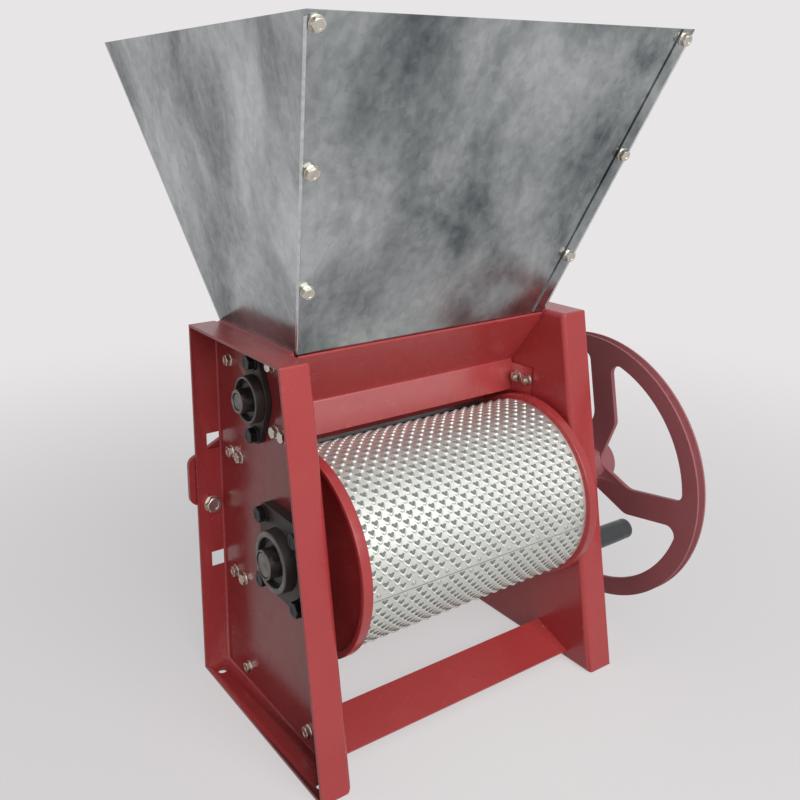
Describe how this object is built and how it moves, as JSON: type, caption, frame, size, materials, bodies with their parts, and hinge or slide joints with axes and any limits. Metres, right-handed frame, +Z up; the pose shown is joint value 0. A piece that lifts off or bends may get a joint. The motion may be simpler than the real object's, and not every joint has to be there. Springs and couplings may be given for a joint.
{
  "type": "coffee pulper",
  "caption": "Drum coffee pulper: flared sheet hopper over a punched steel drum between two flanged red side frames, with a grooved four-arm flywheel and crank grip.",
  "frame": {"origin": "on the floor, in the middle of the four floor bolts of the side frames", "axes": "+X along the drum axis towards the flywheel, -Y the front where the drum shows, +Z up"},
  "size_m": [0.6664, 0.5389, 0.8297],
  "materials": {
    "red_paint": "red gloss enamel on bent sheet steel",
    "red_casting": "dark red paint on cast iron",
    "galvanised_sheet": "hot-dip galvanised sheet with a soft spangle",
    "punched_steel": "bright punched steel sheet",
    "turned_steel": "turned steel bar",
    "grey_casting": "grey painted cast bearing housing",
    "black_bolts": "black oxide hexagon bolts",
    "zinc_bolts": "zinc plated hexagon bolts",
    "grip_plastic": "dark grey plastic grip",
    "belt_rubber": "black rubber belt"
  },
  "bodies": {
    "frame": {"side_frame_left": "red_paint", "side_frame_right": "red_paint", "throat_front": "red_paint", "throat_rear": "red_paint", "chute_front": "red_paint", "chute_rear": "red_paint", "hopper_front": "galvanised_sheet", "hopper_rear": "galvanised_sheet", "hopper_left": "galvanised_sheet", "hopper_right": "galvanised_sheet", "drum_bearing_left": "grey_casting", "drum_bearing_right": "grey_casting", "feed_bearing_left": "grey_casting", "feed_bearing_right": "grey_casting", "drum_bearing_bolts": "black_bolts", "feed_bearing_bolts": "black_bolts", "feed_belt": "belt_rubber"},
    "drum": {"drum_shaft": "turned_steel", "drum_disc_left": "red_paint", "drum_disc_right": "red_paint", "drum_cover": "punched_steel", "drive_pulley": "red_casting", "flywheel": "red_casting", "crank_pin": "turned_steel"},
    "grip": {"crank_grip": "grip_plastic"},
    "feed": {"feed_shaft": "turned_steel", "feed_roller": "red_paint", "feed_pulley": "red_casting"},
    "breast": {"breast_plate": "red_paint", "breast_ear_left": "red_paint", "breast_ear_right": "red_paint", "breast_bolts": "zinc_bolts"},
    "screw_left": {"adjuster_screw_left": "zinc_bolts"},
    "screw_right": {"adjuster_screw_right": "zinc_bolts"}
  },
  "joints": [
    {"name": "drum_spin", "type": "hinge", "parent": "frame", "child": "drum", "pos_m": [0, -0.0345, 0.235], "axis": [1, 0, 0], "continuous": true},
    {"name": "grip_spin", "type": "hinge", "parent": "drum", "child": "grip", "pos_m": [0.35, -0.01987, 0.09577], "axis": [1, 0, 0], "continuous": true},
    {"name": "feed_spin", "type": "hinge", "parent": "frame", "child": "feed", "pos_m": [0, 0.033, 0.41], "axis": [1, 0, 0], "continuous": true},
    {"name": "breast_slide", "type": "slide", "parent": "frame", "child": "breast", "axis": [0, 1, 0], "range_m": [0, 0.008]},
    {"name": "screw_left_turn", "type": "hinge", "parent": "frame", "child": "screw_left", "pos_m": [-0.208, 0.15, 0.235], "axis": [0, -1, 0], "range_deg": [0, 1646]},
    {"name": "screw_right_turn", "type": "hinge", "parent": "frame", "child": "screw_right", "pos_m": [0.208, 0.15, 0.235], "axis": [0, -1, 0], "range_deg": [0, 1646]}
  ],
  "couplings": [
    {"joint": "feed_spin", "follows": "drum_spin", "ratio": 0.68066},
    {"joint": "screw_left_turn", "follows": "breast_slide", "rad_per_m": 3590.4},
    {"joint": "screw_right_turn", "follows": "breast_slide", "rad_per_m": 3590.4}
  ]
}
